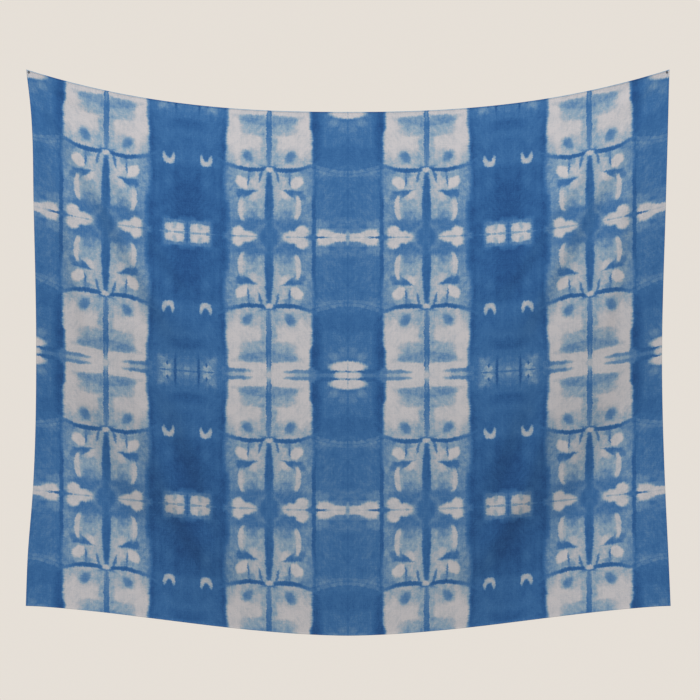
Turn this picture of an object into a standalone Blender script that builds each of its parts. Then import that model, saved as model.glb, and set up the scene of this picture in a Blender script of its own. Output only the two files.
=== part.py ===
"""A shibori dyed cloth that hangs against a wall by its two top corners, each on a round-headed pin.

Metres, +Z up. The origin is midway between the two top corners, in the plane of the wall. +X runs along the top
edge, +Y runs into the wall, and the cloth hangs in front of it, at -Y.
"""

import math
from collections import namedtuple

import bmesh
import bpy
import numpy as np

# The cloth seen face on. Each row runs from side to side at a share of the way down the cloth. Its middle lies
# drop below the corners, and its two sides stand rise above its middle. left and right are how far it reaches out
# to each side, knee says how late its rise starts on the way out, and shoulder how much it levels off again.
Row = namedtuple("Row", "down drop rise left right knee shoulder")
ROWS = (
    Row(0.00, 0.1000, 0.1000, 0.7536, 0.7536, 2.4, 1.0),
    Row(0.08, 0.1948, 0.0927, 0.7420, 0.7506, 2.6, 1.0),
    Row(0.25, 0.3953, 0.0744, 0.7350, 0.7437, 2.9, 1.0),
    Row(0.51, 0.7136, 0.0588, 0.7288, 0.7350, 2.6, 1.0),
    Row(0.78, 1.0371, 0.0475, 0.7370, 0.7428, 2.1, 1.1),
    Row(0.90, 1.1971, 0.0606, 0.7480, 0.7492, 1.9, 1.3),
    Row(1.00, 1.3258, 0.0707, 0.7522, 0.7540, 1.7, 1.5),
)
THICKNESS = 0.0015
STEPS_ACROSS = 54
STEPS_DOWN = 44

# How far the slack cloth stands off the wall, at places across it from its middle (0) to its sides (1): at its
# top edge, at the crest of its swag, and in the trough below that. crest_down and trough_down are shares of the
# way down, and a trough lower than 1 lies past the bottom edge. flare brings the cloth forward again below the
# trough, over the share FLARE_DOWN.
Swag = namedtuple("Swag", "across top crest_down crest trough_down trough flare")
SWAGS = (
    Swag(0.00, 0.012, 0.54, 0.069, 1.30, -0.006, 0.000),
    Swag(0.25, 0.012, 0.53, 0.078, 1.22, 0.000, 0.000),
    Swag(0.47, 0.011, 0.50, 0.092, 1.06, 0.012, 0.004),
    Swag(0.62, 0.010, 0.45, 0.074, 0.91, 0.012, 0.012),
    Swag(0.78, 0.008, 0.41, 0.053, 0.75, 0.010, 0.024),
    Swag(0.92, 0.006, 0.42, 0.040, 0.68, 0.020, 0.028),
    Swag(1.00, 0.004, 0.42, 0.030, 0.66, 0.022, 0.028),
)
FLARE_DOWN = 0.40

# The two top corners are pinned: they stay CORNER_GAP off the wall out to PINNED, and the cloth hangs free from
# FREE on, both shares of the cloth's half width.
CORNER_GAP = 0.004
PINNED = 0.02
FREE = 0.12

# The creases that the hanging corners pull into the cloth. Each is a soft ridge from start past bend to end,
# points given as the distance out from the middle and the height. inner and outer are its widths on the side
# towards the middle and on the side away from it. The same creases run down both sides, but not as a true mirror
# image: shift moves the right-hand one in, and right scales its height.
Crease = namedtuple("Crease", "name start bend end height inner outer shift right")
CREASES = (
    Crease("corner_crease", (0.705, -0.06), (0.540, -0.36), (0.360, -0.70), 0.0100, 0.050, 0.019, 0.006, 0.90),
    Crease("second_crease", (0.640, -0.11), (0.470, -0.36), (0.320, -0.59), 0.0055, 0.040, 0.015, 0.008, 1.10),
    Crease("side_roll", (0.695, -0.14), (0.640, -0.42), (0.590, -0.70), 0.0075, 0.040, 0.018, 0.012, 1.00),
    Crease("outer_sweep", (0.610, -0.60), (0.560, -0.83), (0.430, -1.08), 0.0110, 0.055, 0.034, 0.010, 0.85),
    Crease("middle_sweep", (0.490, -0.70), (0.420, -0.97), (0.270, -1.22), 0.0085, 0.026, 0.020, 0.008, 1.10),
    Crease("inner_sweep", (0.445, -0.68), (0.335, -0.95), (0.235, -1.24), 0.0085, 0.034, 0.022, 0.006, 0.90),
)

# The two pins, one through each top corner.
PIN_IN_FROM_CORNER = 0.0062
PIN_HEAD_RADIUS = 0.0027
PIN_HEAD_RISE = 0.0016
PIN_RIM = 0.0006
PIN_SHANK_RADIUS = 0.0008
PIN_POINT = 0.0030
PIN_IN_WALL = 0.014
PIN_SIDES = 20
CLEARANCE = 0.0003

CLOTH_BLUE = (0.055, 0.155, 0.36, 1.0)
PIN_GREY = (0.12, 0.12, 0.13, 1.0)


def clear_scene():
    for thing in list(bpy.data.objects):
        bpy.data.objects.remove(thing)


def finish(name, colour, roughness, metallic):
    """A Principled BSDF material."""
    made = bpy.data.materials.new(name)
    made.use_nodes = True
    shader = made.node_tree.nodes["Principled BSDF"]
    shader.inputs["Base Color"].default_value = colour
    shader.inputs["Roughness"].default_value = roughness
    shader.inputs["Metallic"].default_value = metallic
    return made


def from_table(table, column, at):
    """The value of a table's column at each of the places in at, on one smooth curve through all its rows."""
    places = np.array([row[0] for row in table])
    values = np.array([getattr(row, column) for row in table])
    slopes = np.gradient(values, places)
    if table is SWAGS:
        slopes[0] = 0
    row = np.clip(np.searchsorted(places, at, side="right") - 1, 0, len(table) - 2)
    span = places[row + 1] - places[row]
    t = (at - places[row]) / span
    return (
        values[row] * (1 + 2 * t) * (1 - t) ** 2
        + slopes[row] * span * t * (1 - t) ** 2
        + values[row + 1] * t * t * (3 - 2 * t)
        - slopes[row + 1] * span * t * t * (1 - t)
    )


def ease(low, high, value):
    """0 up to low, 1 from high, and smooth between."""
    t = np.clip((value - low) / (high - low), 0, 1)
    return t * t * (3 - 2 * t)


def face_on(across, down):
    """Where points of the cloth hang, seen face on: (x, z). across runs from -1 to 1, and down from 0 to 1."""
    knee = from_table(ROWS, "knee", down)
    shoulder = from_table(ROWS, "shoulder", down)
    lift = 1 - (1 - np.abs(across) ** knee) ** shoulder
    half_width = np.where(across < 0, from_table(ROWS, "left", down), from_table(ROWS, "right", down))
    x = across * half_width
    z = from_table(ROWS, "rise", down) * lift - from_table(ROWS, "drop", down)
    return x, z


def swag(across, down):
    """How far the slack carries the cloth off the wall."""
    side = np.abs(across)
    top = from_table(SWAGS, "top", side)
    crest_down = from_table(SWAGS, "crest_down", side)
    crest = from_table(SWAGS, "crest", side)
    trough_down = from_table(SWAGS, "trough_down", side)
    trough = from_table(SWAGS, "trough", side)
    flare = from_table(SWAGS, "flare", side)
    out = np.sin(math.pi / 2 * np.clip(down / crest_down, 0, 1))
    back = ease(crest_down, trough_down, down)
    forward = ease(trough_down, trough_down + FLARE_DOWN, down)
    hanging_free = top + (crest - top) * out + (trough - crest) * back + flare * forward
    freed = ease(PINNED, FREE, np.hypot(1 - side, down))
    return CORNER_GAP + (hanging_free - CORNER_GAP) * freed


def creased(x, z):
    """How far the creases lift the cloth, each one fading out towards its two ends."""
    lifted = np.zeros_like(x)
    for crease in CREASES:
        for side in (-1, 1):
            shift = crease.shift if side > 0 else 0
            scale = crease.right if side > 0 else 1
            outs, heights = np.array([crease.start, crease.bend, crease.end]).T
            line = np.polyfit(heights, outs - shift, 2)
            off = (x * side - np.polyval(line, z)) / np.hypot(1, np.polyval(np.polyder(line), z))
            along = (z - heights[0]) / (heights[2] - heights[0])
            fade = ease(0, 0.4, along) * (1 - ease(0.75, 1, along))
            width = np.where(off > 0, crease.outer, crease.inner)
            lifted += crease.height * scale * fade * np.exp(-0.5 * (off / width) ** 2)
    return lifted


def cloth():
    """The whole cloth, one piece: a grid of points hung in its folds, then given its thickness."""
    sheet = bmesh.new()
    bmesh.ops.create_grid(sheet, x_segments=STEPS_ACROSS, y_segments=STEPS_DOWN, size=1)
    across, up, _ = np.array([point.co for point in sheet.verts]).T
    down = (1 - up) / 2
    x, z = face_on(across, down)
    out = swag(across, down) + creased(x, z)
    for point, place in zip(sheet.verts, zip(x, -out, z)):
        point.co = place
    bmesh.ops.recalc_face_normals(sheet, faces=sheet.faces)
    mesh = bpy.data.meshes.new("cloth")
    sheet.to_mesh(mesh)
    sheet.free()
    made = bpy.data.objects.new("cloth", mesh)
    bpy.context.scene.collection.objects.link(made)
    thicken = made.modifiers.new("thickness", "SOLIDIFY")
    thicken.thickness = THICKNESS
    thicken.offset = 0
    mesh.shade_smooth()
    mesh.materials.append(finish("dyed_cloth", CLOTH_BLUE, 0.9, 0.0))
    return made


def turned(name, profile):
    """A closed shape turned about the Y axis from a profile of (radius, y) points."""
    shape = bmesh.new()
    points = [shape.verts.new((radius, y, 0)) for radius, y in profile]
    edges = [shape.edges.new(pair) for pair in zip(points, points[1:])]
    bmesh.ops.spin(shape, geom=points + edges, axis=(0, 1, 0), angle=math.tau, steps=PIN_SIDES)
    bmesh.ops.remove_doubles(shape, verts=shape.verts, dist=1e-6)
    bmesh.ops.recalc_face_normals(shape, faces=shape.faces)
    mesh = bpy.data.meshes.new(name)
    shape.to_mesh(mesh)
    shape.free()
    made = bpy.data.objects.new(name, mesh)
    bpy.context.scene.collection.objects.link(made)
    return made


def pin_place(side):
    """Where a pin's axis crosses the cloth, just in from the corner on that side (-1 or 1): (x, z)."""
    x, z = face_on(np.array([float(side)]), np.array([0.0]))
    return x[0] - side * PIN_IN_FROM_CORNER, z[0] - PIN_IN_FROM_CORNER


def pin(side, name):
    """A pin through a top corner: a domed head on the cloth, and a pointed shank that goes on into the wall."""
    x, z = pin_place(side)
    seat = -(CORNER_GAP + THICKNESS / 2 + CLEARANCE)
    dome = [
        (PIN_HEAD_RADIUS * math.cos(angle), seat - PIN_RIM - PIN_HEAD_RISE * math.sin(angle))
        for angle in np.linspace(0, math.pi / 2, 5)
    ]
    shank = [
        (0, PIN_IN_WALL),
        (PIN_SHANK_RADIUS, PIN_IN_WALL - PIN_POINT),
        (PIN_SHANK_RADIUS, seat),
        (PIN_HEAD_RADIUS, seat),
    ]
    made = turned(name, shank + dome)
    made.location = (x, 0, z)
    made.data.shade_smooth()
    made.data.set_sharp_from_angle(angle=math.radians(40))
    made.data.materials.append(finish(name + "_metal", PIN_GREY, 0.4, 1.0))


def pin_hole(side, sheet):
    """The hole that a pin's shank makes in the cloth."""
    x, z = pin_place(side)
    radius = PIN_SHANK_RADIUS + CLEARANCE
    through = 2 * CORNER_GAP
    made = turned("shank_room", [(0, 0), (radius, 0), (radius, -through), (0, -through)])
    made.location = (x, 0, z)
    made.hide_render = True
    made.display_type = "WIRE"
    cut = sheet.modifiers.new("pin_hole", "BOOLEAN")
    cut.operation = "DIFFERENCE"
    cut.object = made


clear_scene()
hanging = cloth()
for side, name in ((-1, "pin_left"), (1, "pin_right")):
    pin_hole(side, hanging)
    pin(side, name)
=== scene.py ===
import math
from collections import namedtuple

import bmesh
import bpy
import numpy as np
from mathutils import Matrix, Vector, noise


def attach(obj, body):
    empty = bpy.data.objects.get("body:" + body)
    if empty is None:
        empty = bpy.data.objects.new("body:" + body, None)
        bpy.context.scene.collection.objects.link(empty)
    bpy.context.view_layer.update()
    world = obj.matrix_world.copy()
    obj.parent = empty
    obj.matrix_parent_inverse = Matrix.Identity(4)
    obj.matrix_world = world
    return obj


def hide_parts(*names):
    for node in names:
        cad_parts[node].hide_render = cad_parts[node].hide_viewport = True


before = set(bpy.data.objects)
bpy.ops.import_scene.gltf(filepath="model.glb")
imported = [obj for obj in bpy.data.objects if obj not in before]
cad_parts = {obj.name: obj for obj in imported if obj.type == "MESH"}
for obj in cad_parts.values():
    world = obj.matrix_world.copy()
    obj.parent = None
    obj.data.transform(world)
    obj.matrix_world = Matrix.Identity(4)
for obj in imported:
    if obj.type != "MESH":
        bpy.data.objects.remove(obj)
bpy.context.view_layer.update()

# The shibori dyed cloth as it hangs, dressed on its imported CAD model, in metres. The origin is midway
# between the two top corners. +X runs along the top edge, to the right as seen from the front, +Y to the
# back, and +Z up.

# The cloth
# One length of cotton, woven plain from slubby yarn, dyed blue in a folded repeat, and finished all round
# with a narrow rolled hem. It hangs slack by its two top corners, so that its middle bellies forward and
# the corners pull creases down both its sides.

# Each row of the cloth lies drop below the corners at its middle, stands rise above that at its two sides,
# and reaches left and right of the middle. knee says how late its rise starts on the way out, and shoulder
# how much it levels off again at the side.
Row = namedtuple("Row", "down drop rise left right knee shoulder")
ROWS = (
    Row(0.00, 0.1000, 0.1000, 0.7536, 0.7536, 2.4, 1.0),
    Row(0.08, 0.1948, 0.0927, 0.7420, 0.7506, 2.6, 1.0),
    Row(0.25, 0.3953, 0.0744, 0.7350, 0.7437, 2.9, 1.0),
    Row(0.51, 0.7136, 0.0588, 0.7288, 0.7350, 2.6, 1.0),
    Row(0.78, 1.0371, 0.0475, 0.7370, 0.7428, 2.1, 1.1),
    Row(0.90, 1.1971, 0.0606, 0.7480, 0.7492, 1.9, 1.3),
    Row(1.00, 1.3258, 0.0707, 0.7522, 0.7540, 1.7, 1.5),
)

# How far the slack stands forward of the plane y = 0, at places from the middle (0) to the sides (1): at
# the top edge, at the crest of the swag, and in the trough below it. crest_down and trough_down are shares
# of the way down, and flare brings the cloth forward again below the trough, over the share FLARE_DOWN.
Swag = namedtuple("Swag", "across top crest_down crest trough_down trough flare")
SWAGS = (
    Swag(0.00, 0.012, 0.54, 0.069, 1.30, -0.006, 0.000),
    Swag(0.25, 0.012, 0.53, 0.078, 1.22, 0.000, 0.000),
    Swag(0.47, 0.011, 0.50, 0.092, 1.06, 0.012, 0.004),
    Swag(0.62, 0.010, 0.45, 0.074, 0.91, 0.012, 0.012),
    Swag(0.78, 0.008, 0.41, 0.053, 0.75, 0.010, 0.024),
    Swag(0.92, 0.006, 0.42, 0.040, 0.68, 0.020, 0.028),
    Swag(1.00, 0.004, 0.42, 0.030, 0.66, 0.022, 0.028),
)
FLARE_DOWN = 0.40

# The two top corners stay CORNER_GAP forward of that plane out to PINNED, and the cloth hangs free from
# FREE on, both shares of the cloth's half width.
CORNER_GAP = 0.004
PINNED = 0.02
FREE = 0.12

# The creases, each a soft ridge from start past bend to end, given as the distance out from the middle and
# the height. inner and outer are its widths towards the middle and away from it. The right-hand ones stand
# in by shift and are right times as high. Along its length a crease rises over the share CREASE_RISE and
# sinks from the share CREASE_SINK on.
Crease = namedtuple("Crease", "name start bend end height inner outer shift right")
CREASES = (
    Crease("corner_crease", (0.705, -0.06), (0.540, -0.36), (0.360, -0.70), 0.0100, 0.050, 0.019, 0.006, 0.9),
    Crease("second_crease", (0.640, -0.11), (0.470, -0.36), (0.320, -0.59), 0.0055, 0.040, 0.015, 0.008, 1.1),
    Crease("side_roll", (0.695, -0.14), (0.640, -0.42), (0.590, -0.70), 0.0075, 0.040, 0.018, 0.012, 1.0),
    Crease("outer_sweep", (0.610, -0.60), (0.560, -0.83), (0.430, -1.08), 0.0110, 0.055, 0.034, 0.010, 0.85),
    Crease("middle_sweep", (0.490, -0.70), (0.420, -0.97), (0.270, -1.22), 0.0085, 0.026, 0.020, 0.008, 1.1),
    Crease("inner_sweep", (0.445, -0.68), (0.335, -0.95), (0.235, -1.24), 0.0085, 0.034, 0.022, 0.006, 0.9),
)
CREASE_RISE = 0.40
CREASE_SINK = 0.75

# The fine pulls that fan out from each pin: the angle below level, how far one runs, its height, and its
# width at a metre from the pin, on top of PULL_WIDTH. Each leans by one of LEANS in turn, and the other way
# on the left. A pull starts over the distances PULL_START and stays at its full height for the share
# PULL_FULL of its reach.
Pull = namedtuple("Pull", "angle reach height width")
PULLS = (
    Pull(17, 0.26, 0.0016, 0.050),
    Pull(33, 0.34, 0.0022, 0.060),
    Pull(46, 0.22, 0.0014, 0.045),
    Pull(62, 0.30, 0.0018, 0.060),
    Pull(77, 0.24, 0.0014, 0.050),
)
LEANS = (-2, 3)
PULL_WIDTH = 0.003
PULL_START = (0.012, 0.060)
PULL_FULL = 0.35

# The unevenness of cloth that was folded and dyed: slack, crumple and ripple, each with its length across,
# its length down and its height.
Unevenness = namedtuple("Unevenness", "across down height seed")
UNEVENNESS = (
    Unevenness(0.240, 0.420, 0.0030, 1.7),
    Unevenness(0.085, 0.150, 0.0011, 5.3),
    Unevenness(0.030, 0.045, 0.00035, 9.1),
)

# Half the thickness of the cloth on the way in from its edge, over the rolled hem, and the size it was cut
# to. The mesh has COLUMNS by LINES faces between the hems.
Hem = namedtuple("Hem", "inwards half")
HEM = (
    Hem(0.0000, 0.0004),
    Hem(0.0005, 0.0008),
    Hem(0.0014, 0.0010),
    Hem(0.0026, 0.0009),
    Hem(0.0033, 0.0005),
    Hem(0.0045, 0.0004),
)
COLUMNS = 222
LINES = 186

# The dye repeats in cells of this size. One cell takes up the share CELL_DOWN of the way down, and the fold
# that the cells are counted from lies at FOLD_DOWN.
CELL_WIDE = 0.3746
CELL_HIGH = 0.3193
CELL_DOWN = 0.2631
FOLD_DOWN = 0.5125


def from_table(table, column, at):
    """The value of a table's column at each of the places in at, on one smooth curve through all its rows."""
    places = np.array([row[0] for row in table])
    values = np.array([getattr(row, column) for row in table])
    slopes = np.gradient(values, places)
    if table is SWAGS:
        # The swag is the same on both sides, so it runs level across the middle.
        slopes[0] = 0
    row = np.clip(np.searchsorted(places, at, side="right") - 1, 0, len(table) - 2)
    span = places[row + 1] - places[row]
    t = (at - places[row]) / span
    return (
        values[row] * (1 + 2 * t) * (1 - t) ** 2
        + slopes[row] * span * t * (1 - t) ** 2
        + values[row + 1] * t * t * (3 - 2 * t)
        - slopes[row + 1] * span * t * t * (1 - t)
    )


def ease(low, high, value):
    """0 up to low, 1 from high, and smooth between."""
    t = np.clip((value - low) / (high - low), 0, 1)
    return t * t * (3 - 2 * t)


def face_on(across, down):
    """Where points of the cloth hang, seen face on: (x, z)."""
    knee = from_table(ROWS, "knee", down)
    shoulder = from_table(ROWS, "shoulder", down)
    lift = 1 - (1 - np.abs(across) ** knee) ** shoulder
    half_width = np.where(across < 0, from_table(ROWS, "left", down), from_table(ROWS, "right", down))
    x = across * half_width
    z = from_table(ROWS, "rise", down) * lift - from_table(ROWS, "drop", down)
    return x, z


def swag(across, down):
    """How far forward the slack carries the cloth."""
    side = np.abs(across)
    top = from_table(SWAGS, "top", side)
    crest_down = from_table(SWAGS, "crest_down", side)
    crest = from_table(SWAGS, "crest", side)
    trough_down = from_table(SWAGS, "trough_down", side)
    trough = from_table(SWAGS, "trough", side)
    flare = from_table(SWAGS, "flare", side)
    out = np.sin(math.pi / 2 * np.clip(down / crest_down, 0, 1))
    back = ease(crest_down, trough_down, down)
    forward = ease(trough_down, trough_down + FLARE_DOWN, down)
    return top + (crest - top) * out + (trough - crest) * back + flare * forward


def creased(x, z):
    """How far the creases lift the cloth, each one fading out towards its two ends."""
    lifted = np.zeros_like(x)
    for crease in CREASES:
        for side in (-1, 1):
            shift = crease.shift if side > 0 else 0
            scale = crease.right if side > 0 else 1
            outs, heights = np.array([crease.start, crease.bend, crease.end]).T
            line = np.polyfit(heights, outs - shift, 2)
            off = (x * side - np.polyval(line, z)) / np.hypot(1, np.polyval(np.polyder(line), z))
            along = (z - heights[0]) / (heights[2] - heights[0])
            fade = ease(0, CREASE_RISE, along) * (1 - ease(CREASE_SINK, 1, along))
            width = np.where(off > 0, crease.outer, crease.inner)
            lifted += crease.height * scale * fade * np.exp(-0.5 * (off / width) ** 2)
    return lifted


def pulled(x, z):
    """How far the fine pulls from the two pins lift the cloth."""
    lifted = np.zeros_like(x)
    for side in (-1, 1):
        inwards = ROWS[0].left - x * side
        distance = np.hypot(inwards, z)
        angle = np.arctan2(-z, inwards)
        for number, pull in enumerate(PULLS):
            lean = math.radians(pull.angle + side * LEANS[number % 2])
            off = (angle - lean) * distance
            width = PULL_WIDTH + pull.width * distance
            fade = ease(*PULL_START, distance) * (1 - ease(PULL_FULL * pull.reach, pull.reach, distance))
            lifted += pull.height * fade * np.exp(-0.5 * (off / width) ** 2)
    return lifted


def uneven(x, z):
    """The small unevenness of the whole cloth."""
    moved = np.zeros_like(x)
    for kind in UNEVENNESS:
        spots = zip((x / kind.across).flat, (z / kind.down).flat)
        heights = [noise.noise(Vector((across, down, kind.seed))) for across, down in spots]
        moved += kind.height * np.reshape(heights, x.shape)
    return moved


def grid_places(total, steps):
    """Where the mesh's lines run over a total length: close together in each hem, and even between."""
    edge = np.array([row.inwards for row in HEM])
    middle = np.linspace(edge[-1], total - edge[-1], steps + 1)
    return np.concatenate([edge[:-1], middle, total - edge[-2::-1]])


wide = 2 * ROWS[0].left
long = ROWS[-1].drop - ROWS[0].drop
columns = grid_places(wide, COLUMNS)
lines = grid_places(long, LINES)
across, down = np.meshgrid(columns / wide * 2 - 1, lines / long)
x, z = face_on(across, down)
freed = ease(PINNED, FREE, np.hypot(1 - np.abs(across), down))
hanging_free = swag(across, down) + uneven(x, z) + pulled(x, z)
out = CORNER_GAP + (hanging_free - CORNER_GAP) * freed + creased(x, z)
middle_of_cloth = np.stack([x, -out, z], axis=-1)

# The front and the back of the sheet lie half its thickness to either side of that surface.
along_row = np.gradient(middle_of_cloth, axis=1)
down_row = np.gradient(middle_of_cloth, axis=0)
to_back = np.cross(down_row, along_row)
to_back /= np.linalg.norm(to_back, axis=-1, keepdims=True)
to_back *= np.where(to_back[..., 1:2] < 0, -1, 1)
from_side = np.minimum(columns, wide - columns)
from_end = np.minimum(lines, long - lines)
inwards = np.minimum(*np.meshgrid(from_side, from_end))
half = np.interp(inwards, [row.inwards for row in HEM], [row.half for row in HEM])[..., None]
front = middle_of_cloth - to_back * half
back = middle_of_cloth + to_back * half

rows, cols = x.shape
number = np.arange(rows * cols).reshape(rows, cols)
corners = (number[:-1, :-1], number[1:, :-1], number[1:, 1:], number[:-1, 1:])
front_faces = np.stack(corners, axis=-1).reshape(-1, 4)
back_faces = front_faces[:, ::-1] + rows * cols
rim = np.concatenate([number[:, 0], number[-1, 1:], number[-2::-1, -1], number[0, -2:0:-1]])
following = np.roll(rim, -1)
rim_faces = np.stack([rim, rim + rows * cols, following + rows * cols, following], axis=-1)
cloth_mesh = bpy.data.meshes.new("cloth_sheet")
points = np.concatenate([front.reshape(-1, 3), back.reshape(-1, 3)])
faces = np.concatenate([front_faces, back_faces, rim_faces])
cloth_mesh.from_pydata(points.tolist(), [], faces.tolist())
cloth_mesh.shade_smooth()

# The dye and the weave follow this UV map, in metres: across the cloth, and down it from the fold at
# FOLD_DOWN.
weave_down = (down - FOLD_DOWN) / CELL_DOWN * CELL_HIGH
flat = np.stack([x, weave_down], axis=-1).reshape(-1, 2)
flat = np.concatenate([flat, flat])
lay = cloth_mesh.uv_layers.new(name="weave")
corner_points = np.zeros(len(cloth_mesh.loops), dtype=np.int32)
cloth_mesh.loops.foreach_get("vertex_index", corner_points)
lay.data.foreach_set("uv", flat[corner_points].ravel())

cloth_sheet = bpy.data.objects.new("cloth_sheet", cloth_mesh)
bpy.context.scene.collection.objects.link(cloth_sheet)
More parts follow.
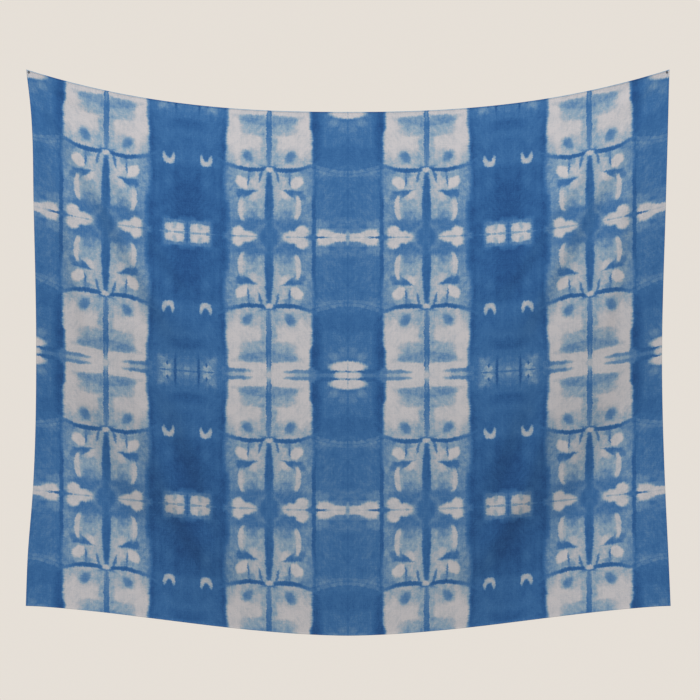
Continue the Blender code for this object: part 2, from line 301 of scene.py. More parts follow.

# The dye is indigo, put in by folding and clamping: the cloth is pleated lengthwise, folded up crosswise
# into a pad, and held between boards, so that the dye creeps in from the open edges. Opened out, every fold
# is a mirror line. The marks below are laid on one folded cell, over the grounds of its three stripes.

# A mark's shape, its middle, half width and half height, turn in degrees, bend, width of its soft edge, the
# dye that it leaves (0 undyed to 1 darkest) and how fully it covers. All lengths are in millimetres, x from
# the middle of the blue stripe, and y from the fold through the middle of the pale square.
Mark = namedtuple("Mark", "shape x y wide high turn bend soft dye amount")
MARKS = (
    # The blue stripe, from its fold through the lens-shaped marks to its fold through the pale bars
    Mark("blot", 87, 50, 21, 125, 0, 0, 24, 0.95, 0.85),
    Mark("blot", 0, 122, 56, 22, 0, 0, 20, 0.86, 0.5),
    Mark("blot", 31, 42, 13, 9, 20, 0, 12, 0.50, 0.7),
    Mark("blot", 6, 55, 13, 11, 0, 0, 14, 0.54, 0.65),
    Mark("box", 0, 0, 58, 6, 0, 0, 8, 0.55, 0.7),
    Mark("blot", 0, 19.5, 42, 13.5, 0, 0, 7, 0.03, 1),
    Mark("pad", 0, 0, 27, 5.4, 0, 0, 4, 0.06, 1),
    Mark("blot", 0, 9.2, 40, 1.6, 0, 0, 2.5, 0.40, 0.8),
    Mark("blot", 32, 9.2, 9, 1.8, 0, 0, 2.5, 0.86, 0.9),
    Mark("blot", 0, 9.2, 5, 1.8, 0, 0, 2.5, 0.80, 0.8),
    Mark("blot", 62, 9, 22, 3, 0, 0, 7, 0.84, 0.7),
    Mark("box", 0, 0, 0.9, 17, 0, 0, 1.6, 0.36, 0.6),
    Mark("pad", 0, 162, 2.2, 78, 90, 7.0, 5, 0.44, 0.5),
    Mark("pad", 0, 171, 1.8, 78, 90, 7.5, 5, 0.50, 0.5),
    Mark("blot", 65, 166, 16, 9, -20, 0, 16, 0.50, 0.5),
    Mark("blot", 62, 288, 16, 9, -16, 0, 12, 0.42, 0.75),
    Mark("blot", 18, 283, 20, 8, 0, 0, 14, 0.52, 0.5),
    Mark("pad", 40, 319, 36, 18, 0, 0, 12, 0.45, 0.7),
    Mark("wedge", 33, 319, 37, 20, 180, 0, 10, 0.04, 1),
    Mark("blot", 51, 319, 22, 17, 0, 0, 12, 0.04, 1),
    Mark("pad", 23, 319, 19, 6.8, 0, 0, 8, 0.04, 1),
    Mark("wedge", 67, 319, 16, 5, 180, 0, 4, 0.88, 1),
    Mark("blot", 0, 319, 3.6, 12, 0, 0, 5, 0.36, 0.85),
    Mark("box", 79, 240, 2.2, 50, 0, 0, 5, 0.92, 0.6),
    Mark("box", 0, 168, 1.3, 72, 0, 0, 2.4, 0.82, 0.5),
    # The dark stripe
    Mark("blot", 288, 235, 10, 130, 0, 0, 14, 0.94, 0.75),
    Mark("blot", 288, 60, 8, 120, 0, 0, 14, 0.88, 0.5),
    Mark("box", 374, 252, 64, 68, 0, 0, 56, 0.97, 0.5),
    Mark("blot", 374, 258, 24, 56, 0, 0, 30, 1.0, 0.6),
    Mark("blot", 312, 225, 16, 60, 0, 0, 26, 0.78, 0.5),
    Mark("blot", 331, 184, 10, 24, 0, 0, 14, 0.70, 0.5),
    Mark("pad", 331, 150, 11, 7.5, 0, 0, 6, 0.20, 1),
    Mark("blot", 321, 142, 3, 7, -8, 0, 5, 0.22, 1),
    Mark("blot", 341, 142, 3, 7, 8, 0, 5, 0.22, 1),
    Mark("blot", 331, 138, 5, 8, 0, 0, 5, 0.80, 1),
    Mark("blot", 365, 290, 10, 8, 0, 0, 12, 0.60, 0.6),
    Mark("blot", 326, 292, 9, 7, 0, 0, 12, 0.60, 0.6),
    Mark("box", 345, 319, 24, 25, 0, 0, 14, 0.52, 0.8),
    Mark("box", 345, 319, 17.5, 16.5, 0, 0, 13, 0.07, 1),
    Mark("blot", 346, 301, 4, 8, 0, 0, 7, 0.40, 0.6),
    Mark("blot", 325, 319, 5, 3.5, 0, 0, 5, 0.52, 0.8),
    Mark("blot", 346, 319, 30, 1.8, 0, 0, 3, 0.40, 0.7),
    Mark("blot", 340, 10, 50, 46, 0, 0, 50, 0.66, 0.8),
    Mark("blot", 374, 66, 34, 14, 0, 0, 16, 0.92, 0.6),
    Mark("blot", 326, 0, 18, 26, 0, 0, 20, 0.54, 0.9),
    Mark("blot", 316, 22, 5, 15, 34, 0, 8, 0.46, 0.8),
    Mark("blot", 327, 0, 11, 14, 0, 0, 8, 0.42, 0.8),
    Mark("blot", 323, 9, 4, 5.5, 30, 0, 4, 0.25, 0.85),
    Mark("blot", 332, 9, 4, 5.5, -30, 0, 4, 0.29, 0.85),
    Mark("blot", 317, 4, 5, 2.4, 0, 0, 3, 0.34, 0.8),
    Mark("blot", 328, 17, 2.2, 3.5, 0, 0, 4, 0.92, 0.8),
    Mark("blot", 318, 0, 10, 1.5, 0, 0, 3, 0.82, 0.6),
    Mark("pad", 375, 0, 24, 18, 0, 0, 14, 0.58, 0.8),
    Mark("blot", 375, 3, 7, 9, 0, 0, 7, 0.42, 0.7),
    Mark("blot", 375, 0, 26, 1.4, 0, 0, 3, 0.80, 0.7),
    Mark("blot", 347.5, 0, 2.2, 26, 0, 0, 4, 0.94, 0.9),
    # The square
    Mark("pad", 184, 60, 99, 99, 0, 0, 9, 0.36, 0.7),
    Mark("pad", 184, 56, 94, 101, 0, 0, 7, 0.04, 1),
    Mark("box", 184, 104, 98, 47, 0, 0, 7, 0.04, 1),
    Mark("wedge", 109, 0, 27, 15, 0, 0, 8, 0.30, 0.9),
    Mark("wedge", 262, 0, 27, 16, 180, 0, 8, 0.30, 0.9),
    Mark("blot", 110, 8.0, 27, 3.6, -2, 0, 6, 0.54, 0.95),
    Mark("blot", 260, 8.4, 27, 3.8, 1, 0, 6, 0.56, 0.95),
    Mark("blot", 85, 8, 7, 8, 0, 0, 8, 0.62, 0.8),
    Mark("blot", 284, 8, 7, 8, 0, 0, 8, 0.66, 0.8),
    Mark("pad", 186, 53, 56, 21, 0, 0, 14, 0.33, 0.95),
    Mark("pad", 186, 40, 50, 9, 0, 0, 9, 0.44, 0.75),
    Mark("blot", 150, 42, 36, 6, 12, 0, 8, 0.54, 0.5),
    Mark("blot", 222, 42, 36, 6, -12, 0, 8, 0.54, 0.5),
    Mark("blot", 184, 30, 9, 7, 0, 0, 9, 0.16, 0.7),
    Mark("blot", 184, 144, 56, 30, 0, 0, 34, 0.30, 0.75),
    Mark("pad", 184, 116, 14, 42, 0, 0, 18, 0.32, 0.8),
    Mark("blot", 184, 144, 16, 18, 0, 0, 14, 0.34, 0.7),
    Mark("box", 184.3, 98, 4.3, 60, 0, 0, 5, 0.66, 1),
    Mark("blot", 184.3, 10, 2.4, 24, 0, 0, 4, 0.34, 0.5),
    Mark("blot", 184.3, 0, 6.5, 10, 0, 0, 5, 0.28, 0.7),
    Mark("blot", 184.3, 0, 3.5, 6, 0, 0, 4, 0.12, 0.8),
    Mark("blot", 134.5, 127, 18, 16, -38, 0, 16, 0.28, 0.8),
    Mark("blot", 234, 127, 18, 16, 38, 0, 16, 0.28, 0.8),
    Mark("blot", 134.5, 127, 8, 12, -38, 0, 11, 0.58, 1),
    Mark("blot", 234, 127, 8, 12, 38, 0, 11, 0.58, 1),
    # The figure below the square, its ground first
    Mark("blot", 96, 180, 14, 46, 0, 0, 20, 0.38, 0.75),
    Mark("blot", 273, 180, 13, 46, 0, 0, 20, 0.40, 0.75),
    Mark("pad", 146, 190, 34, 32, 0, 0, 14, 0.31, 0.9),
    Mark("pad", 222, 190, 34, 32, 0, 0, 14, 0.31, 0.9),
    Mark("pad", 146, 244, 28, 30, 0, 0, 14, 0.32, 0.95),
    Mark("pad", 219, 244, 28, 30, 0, 0, 14, 0.32, 0.95),
    Mark("blot", 134, 272, 24, 11, -10, 0, 14, 0.50, 0.8),
    Mark("blot", 232, 274, 24, 11, 10, 0, 14, 0.50, 0.8),
    Mark("blot", 155, 200, 14, 26, -8, 0, 16, 0.16, 0.9),
    Mark("blot", 212, 200, 14, 26, 8, 0, 16, 0.16, 0.9),
    Mark("blot", 145, 222, 11, 6, -42, 0, 9, 0.06, 0.65),
    Mark("blot", 220, 225, 11, 6, 36, 0, 9, 0.06, 0.65),
    Mark("blot", 120, 189, 17, 12, 40, 0, 6, 0.04, 1),
    Mark("blot", 247, 191, 17, 12, -38, 0, 6, 0.04, 1),
    Mark("wedge", 132, 214, 23, 13, -20, 0, 6, 0.70, 1),
    Mark("wedge", 234, 215, 22, 13, 196, 0, 6, 0.70, 1),
    Mark("blot", 112, 221, 13, 8, -20, 0, 8, 0.62, 0.9),
    Mark("blot", 251, 219, 8, 9, 20, 0, 7, 0.66, 0.9),
    Mark("blot", 136, 181, 2.0, 14, 4, 0, 3, 0.66, 0.9),
    Mark("blot", 232, 181, 2.0, 14, -4, 0, 3, 0.66, 0.9),
    Mark("blot", 141, 171, 8, 5, 0, 0, 6, 0.52, 0.8),
    Mark("blot", 226, 171, 8, 5, 0, 0, 6, 0.52, 0.8),
    Mark("blot", 166, 170, 2.4, 13, 16, 0, 4, 0.66, 0.9),
    Mark("blot", 203, 170, 2.4, 13, -16, 0, 4, 0.66, 0.9),
    Mark("blot", 146, 292, 48, 13, 0, 0, 16, 0.68, 0.95),
    Mark("blot", 222, 292, 48, 13, 0, 0, 16, 0.68, 0.95),
    Mark("blot", 119, 248, 9, 24, -4, -0.3, 9, 0.18, 0.6),
    Mark("blot", 247, 251, 9, 24, 3, 0.3, 9, 0.18, 0.6),
    Mark("pad", 115, 251, 3.8, 20, -4, -0.6, 5, 0.06, 0.9),
    Mark("pad", 251, 254, 3.8, 20, 3, 0.6, 5, 0.06, 0.9),
    # The light rays round the stem, the stem and the disc
    Mark("blot", 171, 200, 4.5, 50, 7, 0, 8, 0.22, 0.7),
    Mark("blot", 197, 200, 4.5, 50, -7, 0, 8, 0.22, 0.7),
    Mark("blot", 184, 319, 33, 34, 0, 0, 16, 0.47, 0.65),
    Mark("blot", 184, 319, 22, 24, 0, 0, 14, 0.76, 1),
    Mark("box", 184, 272, 7, 30, 0, 0, 9, 0.70, 0.85),
    Mark("blot", 184, 226, 8, 60, 0, 0, 6, 0.80, 1),
    # The dark lower edge of the square
    Mark("blot", 238, 159, 4, 50, 84, 2.2, 6, 0.68, 0.9),
    Mark("blot", 131, 159, 4, 50, 96, 2.2, 6, 0.68, 0.9),
    Mark("blot", 221, 160, 3.4, 30, 91, 1.0, 6, 0.84, 1),
    Mark("blot", 148, 160, 3.4, 30, 89, 1.0, 6, 0.84, 1),
    Mark("blot", 184, 159, 8.5, 5.5, 0, 0, 6, 0.10, 1),
    # The pale bars in line with the disc
    Mark("wedge", 124, 319, 31, 22, 0, 0, 8, 0.04, 1),
    Mark("blot", 109, 303, 14, 10, 26, 0, 9, 0.04, 1),
    Mark("blot", 127, 319, 24, 14, 0, 0, 8, 0.04, 1),
    Mark("wedge", 240, 319, 29, 20, 180, 0, 8, 0.04, 1),
    Mark("blot", 254, 306, 11, 10, -28, 0, 9, 0.04, 1),
    Mark("blot", 238, 319, 22, 12.5, 0, 0, 8, 0.04, 1),
    Mark("wedge", 91, 319, 15, 8, 0, 0, 7, 0.62, 0.95),
    Mark("wedge", 276, 319, 14, 8, 180, 0, 8, 0.62, 0.95),
    Mark("blot", 184, 319, 110, 1.2, 0, 0, 2.5, 0.76, 0.3),
)

# The cell in millimetres, how deep the blue, the pale and the dark stripe are dyed before any mark, where
# one stripe passes into the next, and how far to either side of that.
MILLIMETRES = 1000
CELL = (CELL_WIDE * MILLIMETRES, CELL_HIGH * MILLIMETRES)
GROUNDS = (0.70, 0.47, 0.78)
EDGES = (84.3, 284.4)
EDGE_SOFT = 2.5

# How square a mark is: 2 is an ellipse, and higher numbers are ever squarer pads.
POWERS = {"blot": 2, "pad": 4, "box": 8}

# The unevenness of yarn and dye: the size of its main spots, its finer detail and how rough that is, how
# much it is squeezed along the way in which it is drawn out, and its strength, in dye or in millimetres of
# dye that has crept.
Mottle = namedtuple("Mottle", "size detail roughness squeeze strength", defaults=(1, 1))
SLUB = Mottle(1.7, 2, 0.6, 0.07, 0.19)
STREAK = Mottle(7, 3, 0.6, 0.10, 0.14)
BRUSH = Mottle(5, 3, 0.6, 0.12, 0.18)
BRUSH_SLANT = 38
CLOUD = Mottle(34, 4, 0.6, 1, 0.34)
GRAIN = Mottle(3.2, 2, 0.6, 1, 0.20)
BLOTCH = Mottle(12, 4, 0.6, 1, 3.6)
CREEP = Mottle(15, 2, 0.5, 1, 6.0)
FRAY = Mottle(3.4, 2, 0.6, 0.12, 7.0)

# The yarns stand YARN apart, and CROSSING is how far their crossings show beside the slubs in the relief.
YARN = 1.1
CROSSING = 0.35
RELIEF = 0.0004

# Painted shade: along the fold of the top hem the dye is made darker over a narrow width, a thin line that
# stands in for the shadow of the rolled hem.
TOP_FOLD = -FOLD_DOWN / CELL_DOWN * CELL[1]
HEM_SHADE_WIDTH = 3.2
HEM_SHADE = 0.34

# Washed cotton is all but dull, with a little fuzz that catches the light.
COTTON_ROUGHNESS = 0.95
COTTON_SHINE = 0.12
COTTON_FUZZ = 0.05
COTTON_FUZZ_ROUGHNESS = 0.6

# The blues that the dye gives, from undyed to darkest.
INDIGO = (
    (0.00, (0.52, 0.50, 0.512)),
    (0.12, (0.420, 0.430, 0.460)),
    (0.30, (0.235, 0.335, 0.430)),
    (0.50, (0.105, 0.215, 0.375)),
    (0.70, (0.042, 0.140, 0.325)),
    (0.85, (0.025, 0.102, 0.270)),
    (1.00, (0.014, 0.064, 0.200)),
)


def add_node(tree, kind, **settings):
    """A node of a material, with some of its settings."""
    made = tree.nodes.new(kind)
    for setting, value in settings.items():
        setattr(made, setting, value)
    return made


def feed(tree, value, socket):
    """Gives a socket a number, or the outcome of another node."""
    if isinstance(value, bpy.types.NodeSocket):
        tree.links.new(value, socket)
    else:
        socket.default_value = value


def maths(tree, operation, *values):
    """One sum on numbers."""
    made = add_node(tree, "ShaderNodeMath", operation=operation)
    for value, socket in zip(values, made.inputs):
        feed(tree, value, socket)
    return made.outputs[0]


def vector_maths(tree, operation, *values):
    """One sum on places."""
    made = add_node(tree, "ShaderNodeVectorMath", operation=operation)
    for value, socket in zip(values, made.inputs):
        feed(tree, value, socket)
    return made.outputs[0]


def blended(tree, amount, first, second):
    """A number between two others."""
    made = add_node(tree, "ShaderNodeMix")
    feed(tree, amount, made.inputs[0])
    feed(tree, first, made.inputs[2])
    feed(tree, second, made.inputs[3])
    return made.outputs[0]


def between(tree, value, low, high, at_low, at_high):
    """at_low up to low, at_high from high, and smooth between. A smooth step needs no clamp."""
    made = add_node(tree, "ShaderNodeMapRange", interpolation_type="SMOOTHSTEP", clamp=False)
    for given, socket in zip((value, low, high, at_low, at_high), made.inputs):
        feed(tree, given, socket)
    return made.outputs[0]


def noise_node(tree, place, mottle):
    """Soft noise that looks as the mottle says, not drawn out."""
    made = add_node(tree, "ShaderNodeTexNoise")
    feed(tree, place, made.inputs["Vector"])
    made.inputs["Scale"].default_value = 1 / mottle.size
    made.inputs["Detail"].default_value = mottle.detail
    made.inputs["Roughness"].default_value = mottle.roughness
    return made


def noise_value(tree, place, mottle):
    """The height of such noise, 0 to 1."""
    return noise_node(tree, place, mottle).outputs[0]


def drawn_across(tree, place, mottle):
    """The height of such noise, drawn out across the cloth."""
    return noise_value(tree, vector_maths(tree, "MULTIPLY", place, (mottle.squeeze, 1, 1)), mottle)


def drawn_down(tree, place, mottle):
    """The height of such noise, drawn out down the cloth."""
    return noise_value(tree, vector_maths(tree, "MULTIPLY", place, (1, mottle.squeeze, 1)), mottle)


def raise_bump(tree, height, distance, shader):
    """Puts a height on a shader's surface as bump."""
    bump = add_node(tree, "ShaderNodeBump")
    bump.inputs["Distance"].default_value = distance
    tree.links.new(height, bump.inputs["Height"])
    tree.links.new(bump.outputs[0], shader.inputs["Normal"])


def lay_mark(tree, x, y, dye, mark):
    """Lays one mark over the dye that is there. A long chain of marks works only with plain numbers."""
    turn = math.radians(mark.turn)
    wide_way = (mark.wide, math.cos(turn), math.sin(turn))
    high_way = (mark.high, -math.sin(turn), math.cos(turn))
    places = []
    for size, over, up in (wide_way, high_way):
        start = -(mark.x * over + mark.y * up) / size
        if mark.turn:
            start = maths(tree, "MULTIPLY_ADD", x, over / size, start)
            places.append(maths(tree, "MULTIPLY_ADD", y, up / size, start))
        else:
            places.append(maths(tree, "MULTIPLY_ADD", x if over else y, 1 / size, start))
    wide, high = places
    if mark.bend:
        bowed = maths(tree, "MULTIPLY", high, high)
        wide = maths(tree, "MULTIPLY_ADD", bowed, mark.bend, wide)
    if mark.shape == "wedge":
        # A wedge is fully high at its base, at -1, and comes to its point at 1.
        power = 1
        half_open = maths(tree, "ABSOLUTE", high)
        slope = maths(tree, "MULTIPLY_ADD", wide, 0.5, half_open)
        slope = maths(tree, "ADD", slope, 0.5)
        back = maths(tree, "MULTIPLY", wide, -1)
        far = maths(tree, "MAXIMUM", slope, back)
    else:
        power = POWERS[mark.shape]
        for _ in range(power.bit_length() - 1):
            wide = maths(tree, "MULTIPLY", wide, wide)
            high = maths(tree, "MULTIPLY", high, high)
        far = maths(tree, "ADD", wide, high)
    soft = mark.soft / min(mark.wide, mark.high) / 2
    covered = between(tree, far, max(1 - soft, 0) ** power, (1 + soft) ** power, mark.amount, 0)
    return blended(tree, covered, dye, mark.dye)


def dyed_cotton():
    """Slubby plain-woven cotton with the folded dye in it."""
    made = bpy.data.materials.new("dyed_cotton")
    made.use_nodes = True
    tree = made.node_tree
    shader = tree.nodes["Principled BSDF"]

    lay = add_node(tree, "ShaderNodeUVMap", uv_map="weave")
    place = add_node(tree, "ShaderNodeVectorMath", operation="SCALE")
    place.inputs["Scale"].default_value = MILLIMETRES
    tree.links.new(lay.outputs[0], place.inputs[0])
    open_place = place.outputs[0]
    split = add_node(tree, "ShaderNodeSeparateXYZ")
    tree.links.new(open_place, split.inputs[0])
    folded = add_node(tree, "ShaderNodeCombineXYZ")
    for side in (0, 1):
        feed(tree, maths(tree, "PINGPONG", split.outputs[side], CELL[side]), folded.inputs[side])
    folded_place = folded.outputs[0]

    # The weave: thick and thin places in the yarns of the warp and of the weft, and the crossings of the
    # yarns.
    warp = drawn_down(tree, open_place, SLUB)
    weft = drawn_across(tree, open_place, SLUB)
    slub = maths(tree, "ADD", warp, weft)
    over = maths(tree, "SINE", maths(tree, "MULTIPLY", split.outputs[0], math.pi / YARN))
    under = maths(tree, "SINE", maths(tree, "MULTIPLY", split.outputs[1], math.pi / YARN))
    crossing = maths(tree, "MULTIPLY", over, under)
    height = maths(tree, "MULTIPLY_ADD", crossing, CROSSING, slub)
    raise_bump(tree, height, RELIEF, shader)

    # How unevenly the dye went in, and how far it crept in soft bays and in frays along the yarns.
    streak = drawn_down(tree, folded_place, STREAK)
    slant = add_node(tree, "ShaderNodeVectorRotate", rotation_type="Z_AXIS")
    slant.inputs["Angle"].default_value = math.radians(BRUSH_SLANT)
    tree.links.new(folded_place, slant.inputs["Vector"])
    brush = drawn_down(tree, slant.outputs[0], BRUSH)
    cloud = noise_value(tree, folded_place, CLOUD)
    grain = noise_value(tree, open_place, GRAIN)
    creep = noise_node(tree, folded_place, CREEP).outputs["Color"]
    far = CREEP.strength
    creep = vector_maths(tree, "MULTIPLY_ADD", creep, (far, far, 0), (-far / 2, -far / 2, 0))
    moved = vector_maths(tree, "ADD", folded_place, creep)
    along_weft = drawn_across(tree, open_place, FRAY)
    along_warp = drawn_down(tree, open_place, FRAY)
    wicked = add_node(tree, "ShaderNodeCombineXYZ")
    for fray, socket in zip((along_weft, along_warp), wicked.inputs):
        feed(tree, maths(tree, "MULTIPLY_ADD", fray, FRAY.strength, -FRAY.strength / 2), socket)
    moved = vector_maths(tree, "ADD", moved, wicked.outputs[0])
    crept = add_node(tree, "ShaderNodeSeparateXYZ")
    tree.links.new(moved, crept.inputs[0])
    x, y = crept.outputs[0], crept.outputs[1]
    dye = GROUNDS[0]
    for edge, ground in zip(EDGES, GROUNDS[1:]):
        dye = blended(tree, between(tree, x, edge - EDGE_SOFT, edge + EDGE_SOFT, 0, 1), dye, ground)
    for mark in MARKS:
        dye = lay_mark(tree, x, y, dye, mark)
    # Half-dyed cloth is blotchy, and fully dyed or bare cloth is nearly even.
    bare = maths(tree, "SUBTRACT", 1, dye)
    blotchy = maths(tree, "MULTIPLY", maths(tree, "MULTIPLY", bare, bare), dye)
    blotch = noise_value(tree, folded_place, BLOTCH)
    blotch = maths(tree, "MULTIPLY_ADD", blotch, BLOTCH.strength, -BLOTCH.strength / 2)
    dye = maths(tree, "MULTIPLY_ADD", blotchy, blotch, dye)
    # Each noise is 0.5 on average, and slub is the sum of two, so what they all add is taken off again.
    laid_on = ((streak, STREAK), (brush, BRUSH), (cloud, CLOUD), (grain, GRAIN), (slub, SLUB))
    added = SLUB.strength / 2
    for value, mottle in laid_on:
        dye = maths(tree, "MULTIPLY_ADD", value, mottle.strength, dye)
        added += mottle.strength / 2
    dye = maths(tree, "SUBTRACT", dye, added)
    # Painted shade along the top hem: a thin dark line added to the dye, standing in for the hem's shadow.
    painted_hem_shade = between(tree, split.outputs[1], TOP_FOLD, TOP_FOLD + HEM_SHADE_WIDTH, HEM_SHADE, 0)
    dye = maths(tree, "ADD", dye, painted_hem_shade)

    colour = add_node(tree, "ShaderNodeValToRGB")
    stops = colour.color_ramp.elements
    for _ in INDIGO[1:-1]:
        stops.new(0.5)
    for stop, (position, paint) in zip(stops, INDIGO):
        stop.position = position
        stop.color = (*paint, 1)
    tree.links.new(dye, colour.inputs[0])
    tree.links.new(colour.outputs[0], shader.inputs["Base Color"])
    shader.inputs["Roughness"].default_value = COTTON_ROUGHNESS
    shader.inputs["Specular IOR Level"].default_value = COTTON_SHINE
    shader.inputs["Sheen Weight"].default_value = COTTON_FUZZ
    shader.inputs["Sheen Roughness"].default_value = COTTON_FUZZ_ROUGHNESS
    return made


cloth_mesh.materials.append(dyed_cotton())
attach(cloth_sheet, "root")
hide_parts("cloth")

# The pins
# Two short steel pins, one pushed through the hem at each top corner. The turned domed head holds the
# cloth, and the shank goes on behind it to a point.

# PIN_SEAT is where the underside of the head lies, and PIN_BEHIND how far back the point reaches. The dome
# is turned in steps, each so much further in and so much further out.
PIN_IN_FROM_CORNER = 0.0062
PIN_HEAD_RADIUS = 0.0027
PIN_RIM = 0.0006
PIN_SHANK_RADIUS = 0.0008
PIN_POINT = 0.0030
PIN_BEHIND = 0.014
PIN_SEAT = -0.00505
PIN_SIDES = 32
DOME_STEPS = (
    (0.00025, 0.00045),
    (0.00040, 0.00045),
    (0.00060, 0.00040),
    (0.00070, 0.00022),
    (0.00045, 0.00005),
)
SHARP_FROM = 38

# A face counts as the front or the back of the head from this much of its normal on.
FACING = 0.9

# The steel runs from dark where it is tarnished to light where it is worn, and is rougher where it is dark.
TARNISH = Mottle(0.0011, 3, 0.6)
TARNISHED = (0.12, 0.122, 0.13, 1)
WORN = (0.34, 0.34, 0.355, 1)
WORN_FROM = (0.35, 0.70)
SMOOTHER_FROM = (0.30, 0.70)
STEEL_ROUGHNESS = (0.50, 0.28)
SCRATCH = Mottle(0.00018, 2, 0.5)
SCRATCH_DEPTH = 0.00002


def pick(mesh_object, wanted):
    """Selects the faces of an object in edit mode whose normal passes a test."""
    shape = bmesh.from_edit_mesh(mesh_object.data)
    bpy.ops.mesh.select_all(action="DESELECT")
    for face in shape.faces:
        face.select_set(wanted(face.normal))
    shape.select_flush_mode()
    bmesh.update_edit_mesh(mesh_object.data)


def model_pin(name, side):
    """One pin in the top corner on that side (-1 or 1)."""
    x = side * (ROWS[0].left - PIN_IN_FROM_CORNER)
    z = -PIN_IN_FROM_CORNER
    bpy.ops.object.select_all(action="DESELECT")
    bpy.ops.mesh.primitive_cylinder_add(
        vertices=PIN_SIDES,
        radius=PIN_HEAD_RADIUS,
        depth=PIN_RIM,
        location=(x, PIN_SEAT - PIN_RIM / 2, z),
        rotation=(math.radians(90), 0, 0),
    )
    made = bpy.context.object
    made.name = name
    made.data.name = name
    bpy.ops.object.mode_set(mode="EDIT")
    pick(made, lambda normal: normal.z > FACING)
    for inwards, outwards in DOME_STEPS:
        bpy.ops.mesh.inset(thickness=inwards, depth=outwards)
    pick(made, lambda normal: normal.z < -FACING)
    bpy.ops.mesh.inset(thickness=PIN_HEAD_RADIUS - PIN_SHANK_RADIUS, depth=0)
    shank = PIN_BEHIND - PIN_POINT - PIN_SEAT
    bpy.ops.mesh.extrude_region_move(TRANSFORM_OT_translate={"value": (0, shank, 0)})
    bpy.ops.mesh.extrude_region_move(TRANSFORM_OT_translate={"value": (0, PIN_POINT, 0)})
    bpy.ops.mesh.merge(type="CENTER")
    bpy.ops.object.mode_set(mode="OBJECT")
    bpy.ops.object.transform_apply(location=True, rotation=True, scale=True)
    bpy.ops.object.shade_smooth_by_angle(angle=math.radians(SHARP_FROM))
    return made


def pin_steel():
    """Plain steel, turned and a little tarnished."""
    made = bpy.data.materials.new("pin_steel")
    made.use_nodes = True
    tree = made.node_tree
    shader = tree.nodes["Principled BSDF"]
    shader.inputs["Metallic"].default_value = 1.0
    place = add_node(tree, "ShaderNodeTexCoord").outputs["Object"]
    tarnish = noise_value(tree, place, TARNISH)
    colour = add_node(tree, "ShaderNodeValToRGB")
    for stop, position, paint in zip(colour.color_ramp.elements, WORN_FROM, (TARNISHED, WORN)):
        stop.position = position
        stop.color = paint
    tree.links.new(tarnish, colour.inputs[0])
    tree.links.new(colour.outputs[0], shader.inputs["Base Color"])
    wear = between(tree, tarnish, *SMOOTHER_FROM, *STEEL_ROUGHNESS)
    tree.links.new(wear, shader.inputs["Roughness"])
    scratches = noise_value(tree, place, SCRATCH)
    raise_bump(tree, scratches, SCRATCH_DEPTH, shader)
    return made


steel = pin_steel()
for node_name, side in (("pin_left", -1), ("pin_right", 1)):
    pin = model_pin(node_name + "_turned", side)
    pin.data.materials.append(steel)
    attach(pin, "root")
    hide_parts(node_name)

# The studio
# A pale floor below the hanging cloth, a large soft light above and in front of it, and another behind it
# that fills its back. All round is a plain pale surround, and the camera looks square on from far off.
FLOOR_BELOW = 0.60
FLOOR_FORWARD = 0.40
FLOOR_SIZE = 3.0
FLOOR_PALE = (0.72, 0.70, 0.67, 1)
FLOOR_ROUGHNESS = 0.8

# The picture is VIEW_WIDTH wide at the depth VIEW_DEPTH, round the place VIEW_MIDDLE, given as x and z.
VIEW_WIDTH = 1.6387
VIEW_MIDDLE = (0.0051, -0.6573)
VIEW_DEPTH = -0.015
CAMERA_AWAY = 14.0
CAMERA_REACH = 100.0
SENSOR = 36.0

Lamp = namedtuple("Lamp", "name place watts")
LAMPS = (
    Lamp("key_light", (-0.3, -4.5, 3.9), 420.0),
    Lamp("back_light", (0.4, 4.5, 2.4), 240.0),
)
LAMP_SIZE = 2.2
LAMP_COLOUR = (1.0, 0.995, 0.985)
AMBIENT = (0.20, 0.20, 0.205, 1)
SURROUND = (0.79, 0.74, 0.68, 1)

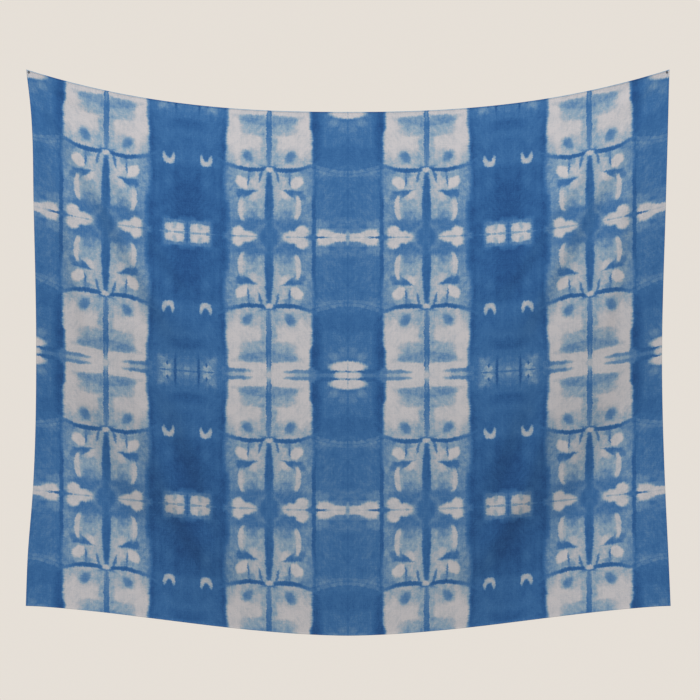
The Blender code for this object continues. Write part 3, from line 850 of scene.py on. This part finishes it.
bpy.ops.object.select_all(action="DESELECT")
floor_level = -ROWS[-1].drop - FLOOR_BELOW
bpy.ops.mesh.primitive_plane_add(size=FLOOR_SIZE, location=(0, -FLOOR_FORWARD, floor_level))
floor = bpy.context.object
floor.name = "floor"
bpy.ops.object.transform_apply(location=True, rotation=True, scale=True)
floor_paint = bpy.data.materials.new("floor_paint")
floor_paint.use_nodes = True
floor_shader = floor_paint.node_tree.nodes["Principled BSDF"]
floor_shader.inputs["Base Color"].default_value = FLOOR_PALE
floor_shader.inputs["Roughness"].default_value = FLOOR_ROUGHNESS
floor.data.materials.append(floor_paint)


def aimed(thing, place, target):
    """Puts a light or the camera in place and points it at a target."""
    holder = bpy.data.objects.new(thing.name, thing)
    bpy.context.scene.collection.objects.link(holder)
    holder.location = place
    holder.rotation_euler = (Vector(target) - Vector(place)).to_track_quat("-Z", "Y").to_euler()
    return holder


for lamp in LAMPS:
    light = bpy.data.lights.new(lamp.name, "AREA")
    light.shape = "DISK"
    light.size = LAMP_SIZE
    light.energy = lamp.watts
    light.color = LAMP_COLOUR
    aimed(light, lamp.place, (0, 0, VIEW_MIDDLE[1]))

# The camera sees a pale surround past the cloth, and a dimmer grey lights the cloth from all round.
surround = bpy.data.worlds.new("surround")
surround.use_nodes = True
air = surround.node_tree
air.nodes.clear()
seen = air.nodes.new("ShaderNodeBackground")
seen.inputs["Color"].default_value = SURROUND
lit = air.nodes.new("ShaderNodeBackground")
lit.inputs["Color"].default_value = AMBIENT
path = air.nodes.new("ShaderNodeLightPath")
choice = air.nodes.new("ShaderNodeMixShader")
air.links.new(path.outputs["Is Camera Ray"], choice.inputs[0])
air.links.new(lit.outputs[0], choice.inputs[1])
air.links.new(seen.outputs[0], choice.inputs[2])
air.links.new(choice.outputs[0], air.nodes.new("ShaderNodeOutputWorld").inputs["Surface"])
bpy.context.scene.world = surround

camera = bpy.data.cameras.new("camera")
camera.sensor_width = SENSOR
camera.lens = SENSOR * CAMERA_AWAY / VIEW_WIDTH
camera.clip_end = CAMERA_REACH
middle = Vector((VIEW_MIDDLE[0], VIEW_DEPTH, VIEW_MIDDLE[1]))
bpy.context.scene.camera = aimed(camera, middle - Vector((0, CAMERA_AWAY, 0)), middle)
bpy.context.scene.view_settings.view_transform = "Standard"
